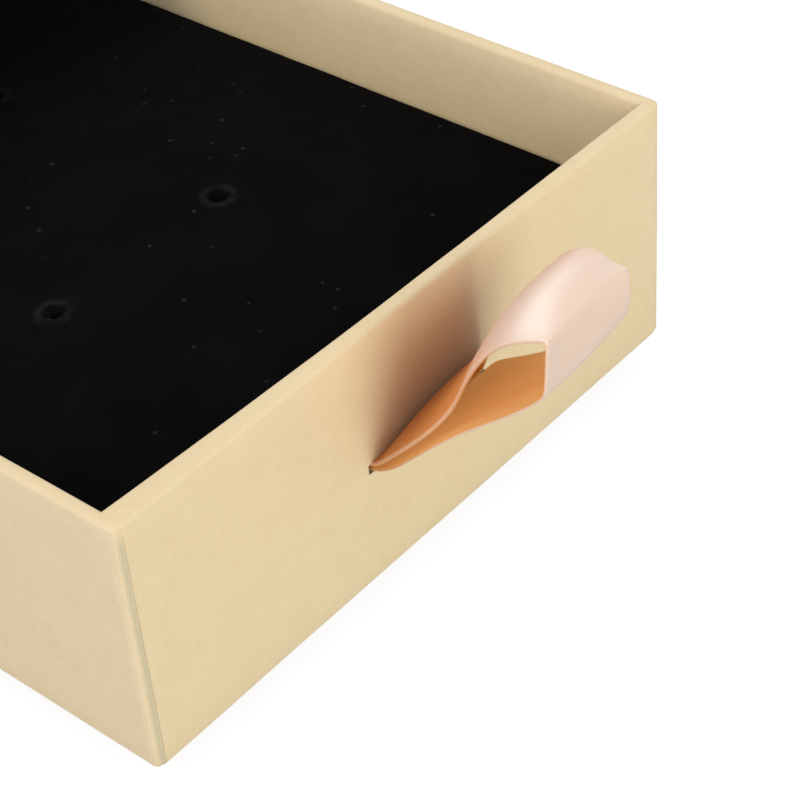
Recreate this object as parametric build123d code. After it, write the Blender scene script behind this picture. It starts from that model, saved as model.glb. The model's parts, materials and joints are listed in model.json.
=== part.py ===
"""A small sliding drawer gift box: a paper-wrapped drawer with a velvet pad and a ribbon
pull, in a paper-wrapped sleeve that is open at the front.

Frame: millimetres, +Z up, the drawer's front faces -Y. The origin is the centre of the
sleeve's underside, on the surface that the box stands on. The drawer is drawn out, as
shown, and closes by sliding along +Y until its front is flush with the sleeve's mouth.
"""
from build123d import *
import os

# ---- driving dimensions -------------------------------------------------------------------
PAPER = 0.2                  # kraft covering paper
TAPE = 0.15                  # gummed paper stays, pressed into the board
GAP = 0.05                   # glue line beside paper edges that face each other

DRAWER_WIDTH = 78.0
DRAWER_LENGTH = 110.0
DRAWER_HEIGHT = 29.3
DRAWER_BOARD = 1.2
DRAWER_CORNER = 1.4          # outer radius of the upright corners, over the paper
DRAWER_RIM_FOLD = 0.45       # outer radius where the paper folds over the rim
DRAWER_TURN_IN = 14.5        # paper turned down inside the walls
SEAM_FROM_CORNER = 1.15      # the front and back flaps stop this far from the corners
SEAM_WIDTH = 0.3
SEAM_DEPTH = 0.12
DRAWER_DRAWN_OUT = 72.0      # how far the drawer stands out of the sleeve as shown

SLEEVE_BOARD = 1.5
SLEEVE_CORNER = 1.2
SLEEVE_MOUTH_FOLD = 0.4      # outer radius where the paper folds into the mouth
SLEEVE_TURN_IN = 12.0        # paper turned in at the mouth
SLEEVE_BACK_FLAP = 10.0      # paper turned over the back board
SLEEVE_UNDER_FLAP = 15.0     # paper turned under the base board
SIDE_CLEARANCE = 0.5
TOP_CLEARANCE = 0.5
BOTTOM_CLEARANCE = 0.3
BACK_CLEARANCE = 0.5

STAY_LEG = 10.0              # each leg of a stay, from the corner
STAY_END = 2.0               # a stay stops this far short of the edges of the board

PAD_TOP = 18.3               # velvet surface above the drawer's underside
PAD_CLEARANCE = 0.1
PAD_CORNER = 1.0
PAD_EDGE = 0.8
VELVET = 0.5
VELVET_TURN_UNDER = 8.0
PIN_HOLE = 2.0               # diameter of the four pin holes in the pad
PIN_HOLE_DEPTH = 8.0
PIN_HOLE_X = 12.0
PIN_HOLE_Y = (37.5, 72.5)    # from the drawer's front face

RIBBON_WIDTH = 17.0
RIBBON = 0.3
RIBBON_X = 0.5               # the ribbon stands a little right of the middle
SLIT_WIDTH = 17.6
SLIT_BOTTOM = 13.2
SLIT_TOP = 14.35
LOWER_STRAND_Z = 13.6
UPPER_STRAND_Z = 14.0
LOWER_TAIL_Y = DRAWER_BOARD + PAPER + RIBBON / 2
UPPER_TAIL_Y = LOWER_TAIL_Y + RIBBON + 0.1
TAIL_END_Z = 4.0
TAIL_BEND = 0.35
TAIL_PATCH_MARGIN = 1.5
TAIL_PATCH_Z = (2.6, 11.0)

# The ribbon's free loop, from the slit along the lower strand, over the squared tip and
# back along the upper strand: (distance before the front face, height above the drawer's
# underside) of each corner at the left selvage, the middle and the right selvage.
RIBBON_LOOP_LEFT = ((0.9, 13.6), (5.2, 17.4), (13.4, 25.4), (20.9, 32.2), (21.4, 38.6),
                    (15.4, 35.6), (12.0, 29.8), (10.4, 25.6), (4.0, 18.2), (0.7, 14.0))
RIBBON_LOOP_MIDDLE = ((0.9, 13.6), (4.4, 17.0), (12.0, 23.6), (18.9, 29.8), (19.2, 36.2),
                      (13.8, 36.0), (10.2, 30.6), (8.2, 26.2), (3.6, 19.0), (0.7, 14.0))
RIBBON_LOOP_RIGHT = ((0.9, 13.6), (3.8, 16.9), (10.8, 22.2), (17.4, 28.9), (17.5, 34.1),
                     (13.0, 34.3), (9.4, 30.2), (7.4, 26.2), (3.4, 19.0), (0.7, 14.0))
RIBBON_LOOP_BENDS = (0.6, 4.0, 6.0, 0.8, 0.8, 3.0, 3.0, 6.0, 4.0, 0.6)

# ---- worked out from those ----------------------------------------------------------------
SLEEVE_WALL = SLEEVE_BOARD + PAPER
SLEEVE_WIDTH = DRAWER_WIDTH + 2 * (SIDE_CLEARANCE + PAPER + SLEEVE_WALL)
DRAWER_LIFT = SLEEVE_WALL + PAPER + BOTTOM_CLEARANCE
SLEEVE_HEIGHT = DRAWER_LIFT + DRAWER_HEIGHT + TOP_CLEARANCE + PAPER + SLEEVE_WALL
SLEEVE_LENGTH = DRAWER_LENGTH + BACK_CLEARANCE + SLEEVE_BOARD + 2 * PAPER
MOUTH_Y = -SLEEVE_LENGTH / 2
DRAWER_PLACE = Location((0, MOUTH_Y - DRAWER_DRAWN_OUT, DRAWER_LIFT))



# ---- shared helpers -----------------------------------------------------------------------
def block(x, y, z):
    """A box given by its lowest and highest x, y and z."""
    size = [high - low for low, high in (x, y, z)]
    middle = [(low + high) / 2 for low, high in (x, y, z)]
    return Pos(*middle) * Box(*size)


def upright_prism(half_width, y, z, corner):
    """A block whose upright corners are round: the drawer's outline."""
    outline = RectangleRounded(2 * half_width, y[1] - y[0], corner)
    return extrude(Pos(0, (y[0] + y[1]) / 2, z[0]) * outline, z[1] - z[0])


def tunnel_prism(half_width, y, z, corner):
    """A block whose long edges, along Y, are round: the sleeve's outline."""
    outline = RectangleRounded(2 * half_width, z[1] - z[0], corner)
    turned = Plane(origin=(0, y[0], (z[0] + z[1]) / 2), x_dir=(1, 0, 0), z_dir=(0, 1, 0))
    return extrude(turned * outline, y[1] - y[0])


def edges_at(solid, axis, place):
    """The edges that lie wholly at one height, or one depth, of a solid."""
    return solid.edges().filter_by_position(axis, place - 1e-4, place + 1e-4)


def write(solid, node):
    """Writes one named piece to its own STEP file."""
    solid.label = node
    export_step(solid, f"parts/{node}.step")


# ---- the drawer, drawn in its own frame: front face y = 0, underside z = 0 ------------------
BOARD_HALF = DRAWER_WIDTH / 2 - PAPER
BOARD_FRONT = PAPER
BOARD_BACK = DRAWER_LENGTH - PAPER
BOARD_BOTTOM = PAPER
BOARD_TOP = DRAWER_HEIGHT - PAPER
INNER_HALF = BOARD_HALF - DRAWER_BOARD
INNER_FRONT = BOARD_FRONT + DRAWER_BOARD
INNER_BACK = BOARD_BACK - DRAWER_BOARD
FLOOR_TOP = BOARD_BOTTOM + DRAWER_BOARD


def slit():
    """The slit through the front wall that the ribbon comes out of."""
    x = (RIBBON_X - SLIT_WIDTH / 2, RIBBON_X + SLIT_WIDTH / 2)
    return block(x, (-1, INNER_FRONT + 1), (SLIT_BOTTOM, SLIT_TOP))


def seams():
    """The fine lines beside the corners where the front and back flaps lap over the tabs
    of the side walls' paper."""
    centre = DRAWER_WIDTH / 2 - SEAM_FROM_CORNER
    height = (-1, DRAWER_HEIGHT + 1)
    lines = []
    for x in (-centre, centre):
        across = (x - SEAM_WIDTH / 2, x + SEAM_WIDTH / 2)
        lines.append(block(across, (-1, SEAM_DEPTH), height))
        lines.append(block(across, (DRAWER_LENGTH - SEAM_DEPTH, DRAWER_LENGTH + 1), height))
    return lines


def drawer_board_blank():
    """All the drawer's greyboard as one tray."""
    tray = upright_prism(BOARD_HALF, (BOARD_FRONT, BOARD_BACK), (BOARD_BOTTOM, BOARD_TOP),
                         DRAWER_CORNER - PAPER)
    return tray - block((-INNER_HALF, INNER_HALF), (INNER_FRONT, INNER_BACK),
                        (FLOOR_TOP, DRAWER_HEIGHT))


def drawer_corner_stays():
    """Four L-shaped paper tapes that hold the upright corners."""
    z = (BOARD_BOTTOM + STAY_END, BOARD_TOP - STAY_END)
    ring = upright_prism(BOARD_HALF, (BOARD_FRONT, BOARD_BACK), z, DRAWER_CORNER - PAPER)
    ring -= upright_prism(BOARD_HALF - TAPE, (BOARD_FRONT + TAPE, BOARD_BACK - TAPE), z,
                          DRAWER_CORNER - PAPER - TAPE)
    stays = {}
    for end, y in (("front", (0, STAY_LEG)), ("back", (DRAWER_LENGTH - STAY_LEG, DRAWER_LENGTH))):
        for side, sign in (("left", -1), ("right", 1)):
            x = sorted((sign * DRAWER_WIDTH / 2, sign * (DRAWER_WIDTH / 2 - STAY_LEG)))
            stays[f"drawer_corner_stay_{end}_{side}"] = ring & block(x, y, z)
    return stays


def drawer_boards(stays):
    """The base and four walls. The front and back run full width, the sides fit between
    them, and the base fits inside all four."""
    blank = drawer_board_blank()
    for stay in stays.values():
        blank -= stay
    height = (0, DRAWER_HEIGHT)
    full = (-DRAWER_WIDTH / 2, DRAWER_WIDTH / 2)
    between = (INNER_FRONT, INNER_BACK)
    return {
        "drawer_base_board": blank & block((-INNER_HALF, INNER_HALF), between, (0, FLOOR_TOP)),
        "drawer_front_board": (blank & block(full, (0, INNER_FRONT), height)) - slit(),
        "drawer_back_board": blank & block(full, (INNER_BACK, DRAWER_LENGTH), height),
        "drawer_left_board": blank & block((-DRAWER_WIDTH / 2, -INNER_HALF), between, height),
        "drawer_right_board": blank & block((INNER_HALF, DRAWER_WIDTH / 2), between, height),
    }


def drawer_wrap():
    """One sheet of kraft paper under the base, up all four walls, over the rim and down
    inside, with the slit cut through it and the seams of its flaps beside the corners."""
    half = DRAWER_WIDTH / 2
    wrap = upright_prism(half, (0, DRAWER_LENGTH), (0, DRAWER_HEIGHT), DRAWER_CORNER)
    wrap = fillet(edges_at(wrap, Axis.Z, 0), DRAWER_RIM_FOLD)
    inside = (INNER_HALF - PAPER, (INNER_FRONT + PAPER, INNER_BACK - PAPER))
    wrap -= block((-inside[0], inside[0]), inside[1], (BOARD_BOTTOM, DRAWER_HEIGHT))
    rim = edges_at(wrap, Axis.Z, DRAWER_HEIGHT)
    wrap = fillet(rim, DRAWER_RIM_FOLD)
    boards = drawer_board_blank() + block((-INNER_HALF, INNER_HALF), (INNER_FRONT, INNER_BACK),
                                          (BOARD_BOTTOM, DRAWER_HEIGHT - DRAWER_TURN_IN))
    wrap -= boards
    for line in seams():
        wrap -= line
    return wrap - slit()


def drawer_floor_sheet():
    """The lining sheet on the drawer's floor, under the pad."""
    return block((-INNER_HALF + GAP, INNER_HALF - GAP), (INNER_FRONT + GAP, INNER_BACK - GAP),
                 (FLOOR_TOP, FLOOR_TOP + PAPER))


PAD_HALF = INNER_HALF - PAPER - PAD_CLEARANCE
PAD_FRONT = INNER_FRONT + PAPER + PAD_CLEARANCE
PAD_BACK = INNER_BACK - PAPER - PAD_CLEARANCE
PAD_BOTTOM = FLOOR_TOP + PAPER


def pad_body(inset, edge):
    """The pad's outline, drawn in by a thickness, with its top edges rounded and the dent
    that the ribbon's tails press into its front."""
    body = upright_prism(PAD_HALF - inset, (PAD_FRONT + inset, PAD_BACK - inset),
                         (PAD_BOTTOM + inset, PAD_TOP - inset), PAD_CORNER - inset)
    if edge:
        body = fillet(edges_at(body, Axis.Z, PAD_TOP - inset), edge)
    margin = TAIL_PATCH_MARGIN + 1 + inset
    x = (RIBBON_X - RIBBON_WIDTH / 2 - margin, RIBBON_X + RIBBON_WIDTH / 2 + margin)
    back = UPPER_TAIL_Y + RIBBON / 2 + TAPE + PAD_CLEARANCE
    return body - block(x, (0, back + inset), (0, SLIT_TOP + 1 + inset))


def pin_holes():
    """Four blind holes that earring or brooch pins go into."""
    places = [(x, y) for x in (-PIN_HOLE_X, PIN_HOLE_X) for y in PIN_HOLE_Y]
    return [Pos(x, y, PAD_TOP) * Cylinder(PIN_HOLE / 2, 2 * PIN_HOLE_DEPTH) for x, y in places]


def insert_pad():
    """A foam block in a velvet cover that is turned under its bottom edges."""
    window = block((-PAD_HALF + VELVET_TURN_UNDER, PAD_HALF - VELVET_TURN_UNDER),
                   (PAD_FRONT + VELVET_TURN_UNDER, PAD_BACK - VELVET_TURN_UNDER),
                   (PAD_BOTTOM, PAD_BOTTOM + VELVET))
    foam = pad_body(VELVET, 0) + window
    velvet = pad_body(0, PAD_EDGE) - foam
    for hole in pin_holes():
        foam -= hole
        velvet -= hole
    return {"insert_foam": foam, "insert_velvet": velvet}


def parallel_points(points, distance):
    """The corners of a path drawn beside another one, to its left."""
    runs = [(Vector(*end) - Vector(*start)).normalized() for start, end in zip(points, points[1:])]
    normals = [Vector(-run.Y, run.X) for run in runs]
    shifted = []
    for point, before, after in zip(points, normals[:1] + normals, normals + normals[-1:]):
        mitre = before + after
        shifted.append(Vector(*point) + mitre * (2 * distance / mitre.dot(mitre)))
    return shifted


def parallel_bends(points, bends, distance):
    """Radii that keep a path beside another one parallel to it round every bend."""
    radii = []
    for before, corner, after, bend in zip(points, points[1:], points[2:], bends):
        turn = (Vector(*corner) - Vector(*before)).cross(Vector(*after) - Vector(*corner)).Z
        radii.append(bend - distance if turn > 0 else bend + distance)
    return radii


def ribbon_section(loop, x):
    """The ribbon's cut edge in one plane across the drawer, from tail to tail."""
    tails = ([(LOWER_TAIL_Y, TAIL_END_Z), (LOWER_TAIL_Y, LOWER_STRAND_Z)],
             [(UPPER_TAIL_Y, UPPER_STRAND_Z), (UPPER_TAIL_Y, TAIL_END_Z)])
    points = tails[0] + [(-out, height) for out, height in loop] + tails[1]
    bends = (TAIL_BEND,) + RIBBON_LOOP_BENDS + (TAIL_BEND,)
    sides = []
    for distance in (RIBBON / 2, -RIBBON / 2):
        corners = [Vector(x, p.X, p.Y) for p in parallel_points(points, distance)]
        radii = parallel_bends(points, bends, distance)
        sides.append(FilletPolyline(*corners, radius=radii))
    near, far = sides
    caps = [Line(near @ end, far @ end) for end in (0, 1)]
    return Face(Wire(near.edges() + far.edges() + [cap.edge() for cap in caps]))


def ribbon_pull():
    """One satin ribbon: glued tail, slit, loop with its squared tip, slit, glued tail."""
    left = RIBBON_X - RIBBON_WIDTH / 2
    sections = [ribbon_section(RIBBON_LOOP_LEFT, left),
                ribbon_section(RIBBON_LOOP_MIDDLE, RIBBON_X),
                ribbon_section(RIBBON_LOOP_RIGHT, left + RIBBON_WIDTH)]
    return loft(sections, ruled=True)


def ribbon_tail_patch():
    """The paper patch that holds both ribbon tails to the inside of the front wall."""
    reach = RIBBON_WIDTH / 2 + TAIL_PATCH_MARGIN
    near = UPPER_TAIL_Y + RIBBON / 2
    return block((RIBBON_X - reach, RIBBON_X + reach), (near, near + TAPE), TAIL_PATCH_Z)


# ---- the sleeve, drawn about the origin -----------------------------------------------------
TUBE_HALF = SLEEVE_WIDTH / 2 - PAPER
TUBE_Y = (MOUTH_Y + PAPER, -MOUTH_Y - 2 * PAPER)
TUBE_Z = (PAPER, SLEEVE_HEIGHT - PAPER)
BORE_HALF = TUBE_HALF - SLEEVE_BOARD
BORE_Z = (TUBE_Z[0] + SLEEVE_BOARD, TUBE_Z[1] - SLEEVE_BOARD)


def sleeve_edge_stays():
    """Four L-shaped paper tapes along the sleeve's long edges."""
    y = (TUBE_Y[0] + STAY_END, TUBE_Y[1] - STAY_END)
    ring = tunnel_prism(TUBE_HALF, y, TUBE_Z, SLEEVE_CORNER - PAPER)
    ring -= tunnel_prism(TUBE_HALF - TAPE, y, (TUBE_Z[0] + TAPE, TUBE_Z[1] - TAPE),
                         SLEEVE_CORNER - PAPER - TAPE)
    stays = {}
    for level, z in (("bottom", (0, STAY_LEG)), ("top", (SLEEVE_HEIGHT - STAY_LEG, SLEEVE_HEIGHT))):
        for side, sign in (("left", -1), ("right", 1)):
            x = sorted((sign * SLEEVE_WIDTH / 2, sign * (SLEEVE_WIDTH / 2 - STAY_LEG)))
            stays[f"sleeve_edge_stay_{level}_{side}"] = ring & block(x, y, z)
    return stays


def sleeve_boards(stays):
    """Four tube boards with grooved, mitred corners, and a back board let into their end."""
    tube = tunnel_prism(TUBE_HALF, TUBE_Y, TUBE_Z, SLEEVE_CORNER - PAPER)
    tube -= block((-BORE_HALF, BORE_HALF), TUBE_Y, BORE_Z)
    for stay in stays.values():
        tube -= stay
    half, height = SLEEVE_WIDTH / 2, SLEEVE_HEIGHT
    inner = height / 2
    peaks = {"base": ((-half, 0), (half, 0), (half - inner, inner), (inner - half, inner)),
             "top": ((-half, height), (half, height), (half - inner, inner), (inner - half, inner)),
             "left": ((-half, 0), (-half, height), (inner - half, inner)),
             "right": ((half, 0), (half, height), (half - inner, inner))}
    across = Plane(origin=(0, MOUTH_Y, 0), x_dir=(1, 0, 0), z_dir=(0, -1, 0))
    boards = {}
    for side, corners in peaks.items():
        wedge = extrude(across * make_face(Polyline(*corners, close=True)), -SLEEVE_LENGTH)
        boards[f"sleeve_{side}_board"] = tube & wedge
    boards["sleeve_back_board"] = block((-BORE_HALF, BORE_HALF),
                                        (TUBE_Y[1] - SLEEVE_BOARD, TUBE_Y[1]), BORE_Z)
    return boards


def sleeve_skin():
    """All the paper on the tube: outside, round the mouth into the bore, over the back."""
    half = SLEEVE_WIDTH / 2
    skin = tunnel_prism(half, (MOUTH_Y, TUBE_Y[1] + PAPER), (0, SLEEVE_HEIGHT), SLEEVE_CORNER)
    skin = fillet(edges_at(skin, Axis.Y, MOUTH_Y), SLEEVE_MOUTH_FOLD)
    skin -= tunnel_prism(TUBE_HALF, TUBE_Y, TUBE_Z, SLEEVE_CORNER - PAPER)
    bore = block((-BORE_HALF, BORE_HALF), (MOUTH_Y, MOUTH_Y + SLEEVE_TURN_IN), BORE_Z)
    way_in = block((-BORE_HALF + PAPER, BORE_HALF - PAPER), (MOUTH_Y, MOUTH_Y + SLEEVE_TURN_IN),
                   (BORE_Z[0] + PAPER, BORE_Z[1] - PAPER))
    return (skin + bore) - way_in


def back_window():
    """The part of the back that the covering paper's flaps leave open, as x and z."""
    reach = SLEEVE_WIDTH / 2 - SLEEVE_BACK_FLAP
    return (-reach, reach), (PAPER, SLEEVE_HEIGHT - SLEEVE_BACK_FLAP)


def sleeve_papers():
    """The covering paper, the sheet between its flaps under the base, and the back sheet."""
    skin = sleeve_skin()
    x, z = back_window()
    skin -= block(x, (TUBE_Y[1], -MOUTH_Y), z)
    under = SLEEVE_WIDTH / 2 - SLEEVE_UNDER_FLAP
    floor = (0, SLEEVE_HEIGHT / 2)
    whole = (MOUTH_Y, -MOUTH_Y)
    sheet = skin & block((-under + GAP, under - GAP), (MOUTH_Y, TUBE_Y[1] + PAPER), floor)
    wrap = skin - block((-under, under), whole, floor)
    back = block((x[0] + GAP, x[1] - GAP), (TUBE_Y[1], TUBE_Y[1] + PAPER), (z[0] + GAP, z[1] - GAP))
    edge = SLEEVE_WIDTH / 2 - 1.0
    back += block((-edge, edge), (TUBE_Y[1] + PAPER, -MOUTH_Y), (1.0, SLEEVE_HEIGHT - 1.0))
    return {"sleeve_wrap": wrap, "sleeve_base_sheet": sheet, "sleeve_back_sheet": back}


# ---- build and write ------------------------------------------------------------------------
def drawer_pieces():
    """Every piece of the drawer, moved to where it stands drawn out of the sleeve."""
    stays = drawer_corner_stays()
    pieces = {**drawer_boards(stays), **stays, **insert_pad(),
              "drawer_wrap": drawer_wrap(),
              "drawer_floor_sheet": drawer_floor_sheet(),
              "ribbon_pull": ribbon_pull(),
              "ribbon_tail_patch": ribbon_tail_patch()}
    return {node: DRAWER_PLACE * piece for node, piece in pieces.items()}


def sleeve_pieces():
    """Every piece of the sleeve."""
    stays = sleeve_edge_stays()
    return {**sleeve_boards(stays), **stays, **sleeve_papers()}


def main():
    os.makedirs("parts", exist_ok=True)
    for node, piece in {**sleeve_pieces(), **drawer_pieces()}.items():
        write(piece, node)


main()
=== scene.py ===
"""Looks of the sliding drawer gift box: kraft covering paper, black velvet pad, satin ribbon
pull. Metres, +Z up, the drawer's front faces -Y, the origin under the middle of the sleeve."""
import json
import math

import bmesh
import bpy
from mathutils import Matrix, Vector


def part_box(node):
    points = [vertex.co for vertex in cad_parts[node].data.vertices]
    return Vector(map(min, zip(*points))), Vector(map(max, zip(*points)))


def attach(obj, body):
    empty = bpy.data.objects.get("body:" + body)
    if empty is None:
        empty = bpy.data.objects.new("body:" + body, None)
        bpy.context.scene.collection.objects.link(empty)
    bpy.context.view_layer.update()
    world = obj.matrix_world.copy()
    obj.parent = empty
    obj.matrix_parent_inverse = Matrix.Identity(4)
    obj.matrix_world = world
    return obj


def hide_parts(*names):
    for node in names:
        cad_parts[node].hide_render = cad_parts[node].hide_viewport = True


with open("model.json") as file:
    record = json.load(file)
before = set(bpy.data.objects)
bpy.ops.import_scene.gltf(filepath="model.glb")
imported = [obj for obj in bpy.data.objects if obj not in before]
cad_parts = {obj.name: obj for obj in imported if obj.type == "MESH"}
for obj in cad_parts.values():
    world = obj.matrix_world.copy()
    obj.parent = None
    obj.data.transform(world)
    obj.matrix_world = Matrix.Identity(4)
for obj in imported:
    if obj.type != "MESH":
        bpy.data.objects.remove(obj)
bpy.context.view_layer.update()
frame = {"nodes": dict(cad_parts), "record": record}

MM = 0.001
SAME_PLACE = 0.01 * MM
BROADSIDE = 0.7             # a face looks along an axis when its normal has this share of it

# ---- places taken from the frame ------------------------------------------------------------
DRAWER_LOW, DRAWER_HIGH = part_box("drawer_wrap")
SLEEVE_LOW, SLEEVE_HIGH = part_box("sleeve_wrap")
PAD_LOW, PAD_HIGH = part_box("insert_velvet")
FRONT_Y = DRAWER_LOW.y
UNDERSIDE_Z = DRAWER_LOW.z
RIM_Z = DRAWER_HIGH.z

# ---- sizes of the papers --------------------------------------------------------------------
PAPER = 0.2 * MM
DRAWER_WALL = 1.6 * MM
DRAWER_CORNER = 1.4 * MM
CORNER_TIGHTNESS = 6        # 2 is a round corner, more is a tighter one
DRAWER_TURN_IN = 14.5 * MM
DRAWER_FOLD = 0.48 * MM
SWELL = 1.25 * MM           # how far the turned-in paper stands off the front wall
SWELL_DEPTH = 8.0 * MM
SWELL_STARTS = 0.5 * MM     # behind the front face, so that the outside stays flat
SLEEVE_WALL = 1.9 * MM
SLEEVE_CORNER = 1.2 * MM
SLEEVE_TURN_IN = 12.0 * MM
SLEEVE_FOLD = 0.4 * MM
SEAM_FROM_CORNER = 0.95 * MM
SEAM_STEP = 0.12 * MM       # the front and back flaps stand this proud of the side tabs
GRID = 3.0 * MM             # spacing of the cuts that let the paper run uneven
DRAWER_UNEVEN = (14 * MM, 0.12 * MM)        # length and height of the waves
SLEEVE_UNEVEN = (16 * MM, 0.10 * MM)
PAPER_CREASE = 35           # degrees from which an edge looks sharp
WALL_SLACK = 0.6 * MM       # more than a fold of paper, less than a board
FOLD_SLACK = 0.1 * MM       # less than the paper's thickness
LOW_DOWN = 10 * MM          # above the sleeve's base and below the middle of its back
MOUTH_AREA = 5e-4           # square metres, less than a mouth and more than a strip of rim

# ---- sizes of the pad and the ribbon --------------------------------------------------------
PIN_HOLES = [(x * MM, FRONT_Y + y * MM) for x in (-12, 12) for y in (37.5, 72.5)]

RIBBON_WIDTH = 17.0 * MM
RIBBON_THICK = 0.28 * MM
RIBBON_X = 0.5 * MM
SLIT_WIDTH = 17.6 * MM
SLIT_BOTTOM = 13.2 * MM
SLIT_TOP = 14.35 * MM


# ---- modelling helpers ----------------------------------------------------------------------
def start_block(name, low, high):
    """A block from its lowest to its highest corner, with its place in its mesh."""
    bpy.ops.object.select_all(action="DESELECT")
    low, high = Vector(low), Vector(high)
    bpy.ops.mesh.primitive_cube_add(size=1, location=(low + high) / 2)
    piece = bpy.context.object
    piece.name = name
    piece.data.name = name
    piece.scale = high - low
    bpy.ops.object.transform_apply(location=True, rotation=True, scale=True)
    return piece


def pick(piece, kind, test):
    """In edit mode, selects just the corners, edges or faces that pass a test."""
    if bpy.context.object.mode != "EDIT":
        bpy.ops.object.mode_set(mode="EDIT")
    bpy.ops.mesh.select_mode(type=kind)
    bpy.ops.mesh.select_all(action="DESELECT")
    mesh = bmesh.from_edit_mesh(piece.data)
    mesh.normal_update()
    for item in {"VERT": mesh.verts, "EDGE": mesh.edges, "FACE": mesh.faces}[kind]:
        if test(item):
            item.select_set(True)
    mesh.select_flush_mode()
    bmesh.update_edit_mesh(piece.data)


def at(value, place):
    """True where two measures are the same."""
    return abs(value - place) < SAME_PLACE


def bevel_edges(piece, test, radius, segments):
    """Rounds the edges that pass a test."""
    pick(piece, "EDGE", test)
    bpy.ops.mesh.bevel(offset=radius, offset_type="OFFSET", segments=segments, affect="EDGES")


def is_long(edge, axis):
    """True for an edge that runs along an axis for more than a millimetre."""
    return abs(edge.verts[0].co[axis] - edge.verts[1].co[axis]) > MM


def cut_across(piece, axis, places):
    """Cuts the whole piece into strips at these places along one axis."""
    normal = [0, 0, 0]
    normal[axis] = 1
    for place in places:
        pick(piece, "FACE", lambda face: True)
        point = [0, 0, 0]
        point[axis] = place
        bpy.ops.mesh.bisect(plane_co=point, plane_no=normal)


def even_places(low, high, step):
    """Places evenly spaced between two ends, about a step apart."""
    count = max(1, round((high - low) / step))
    return [low + (high - low) * i / count for i in range(1, count)]


def cut_into_grid(piece, low, high, step):
    """Cuts the whole piece along all three axes, about a step apart, and merges doubles."""
    for axis in range(3):
        cut_across(piece, axis, even_places(low[axis], high[axis], step))
    bpy.ops.mesh.remove_doubles(threshold=SAME_PLACE)


def leave_edit():
    """Back from edit mode, so that the mesh can be reached point by point."""
    bpy.ops.object.mode_set(mode="OBJECT")


def finish_modifier(piece, kind, **settings):
    """Adds one modifier, sets it and applies it."""
    modifier = piece.modifiers.new(kind.lower(), kind)
    for key, value in settings.items():
        setattr(modifier, key, value)
    bpy.context.view_layer.objects.active = piece
    bpy.ops.object.modifier_apply(modifier=modifier.name)


def smooth(piece, degrees):
    """Smooth shading, but for edges sharper than these degrees."""
    bpy.ops.object.select_all(action="DESELECT")
    piece.select_set(True)
    bpy.context.view_layer.objects.active = piece
    bpy.ops.object.shade_smooth_by_angle(angle=math.radians(degrees))


def run_uneven(piece, size, depth):
    """Lets paper or cloth run slightly uneven, as it does when glued by hand."""
    clouds = bpy.data.textures.new(piece.name + "_waves", "CLOUDS")
    clouds.noise_scale = size
    clouds.noise_depth = 1
    finish_modifier(piece, "DISPLACE", texture=clouds, texture_coords="LOCAL",
                    strength=depth, mid_level=0.5)


def flatten_underside(piece, height):
    """Presses the underside flat again, because the box stands on it."""
    for vert in piece.data.vertices:
        if vert.co.z < height + FOLD_SLACK:
            vert.co.z = height


# ---- node helpers ---------------------------------------------------------------------------
NOISE_ROUGHNESS = 0.55
# The numbers of the colour sockets of a Mix node.
MIX_FACTOR, MIX_FIRST, MIX_SECOND, MIX_RESULT = 0, 6, 7, 2


def new_material(name):
    """A new material, its node tree and its Principled shader."""
    material = bpy.data.materials.new(name)
    material.use_nodes = True
    nodes = material.node_tree.nodes
    return material, material.node_tree, nodes["Principled BSDF"]


def add(tree, kind, x, y, **values):
    """A new node, with its own settings and socket values given by name."""
    node = tree.nodes.new(kind)
    node.location = (x, y)
    for key, value in values.items():
        if hasattr(node, key):
            setattr(node, key, value)
        else:
            node.inputs[key].default_value = value
    return node


def new_group(name, inputs, outputs):
    """An empty node group with these sockets, and its two end nodes."""
    tree = bpy.data.node_groups.new(name, "ShaderNodeTree")
    for label, kind, value in inputs:
        socket = tree.interface.new_socket(label, in_out="INPUT", socket_type=kind)
        if value is not None:
            socket.default_value = value
    for label, kind in outputs:
        tree.interface.new_socket(label, in_out="OUTPUT", socket_type=kind)
    start = add(tree, "NodeGroupInput", -1200, 0)
    end = add(tree, "NodeGroupOutput", 900, 0)
    return tree, start, end


def place_group(tree, group, x, y, vector, **values):
    """A shared effect placed in a material, with its own values."""
    node = add(tree, "ShaderNodeGroup", x, y)
    node.node_tree = group
    for key, value in values.items():
        node.inputs[key].default_value = value
    tree.links.new(vector, node.inputs["Vector"])
    return node


def noise(tree, x, y, vector, scale, detail, distortion=0.0):
    """Soft cloudy noise. The scale is in clouds per metre, or per width on a UV map."""
    node = add(tree, "ShaderNodeTexNoise", x, y, Scale=scale, Detail=detail,
               Roughness=NOISE_ROUGHNESS, Distortion=distortion)
    tree.links.new(vector, node.inputs["Vector"])
    return node


def ramp(tree, x, y, value, low, high, out_low=0.0, out_high=1.0):
    """Carries a value from one range over to another, and holds it inside that range."""
    node = add(tree, "ShaderNodeMapRange", x, y)
    node.inputs["From Min"].default_value = low
    node.inputs["From Max"].default_value = high
    node.inputs["To Min"].default_value = out_low
    node.inputs["To Max"].default_value = out_high
    tree.links.new(value, node.inputs["Value"])
    return node.outputs["Result"]


def math_node(tree, x, y, operation, first, second):
    """One operation on two numbers or sockets."""
    node = add(tree, "ShaderNodeMath", x, y, operation=operation)
    for socket, value in zip(node.inputs, (first, second)):
        if isinstance(value, (int, float)):
            socket.default_value = value
        else:
            tree.links.new(value, socket)
    return node.outputs[0]


def mix_colour(tree, x, y, factor, first, second):
    """A colour that goes from the first to the second with the factor."""
    node = add(tree, "ShaderNodeMix", x, y, data_type="RGBA")
    for number, value in ((MIX_FACTOR, factor), (MIX_FIRST, first), (MIX_SECOND, second)):
        if isinstance(value, tuple):
            node.inputs[number].default_value = value
        else:
            tree.links.new(value, node.inputs[number])
    return node.outputs[MIX_RESULT]


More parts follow.
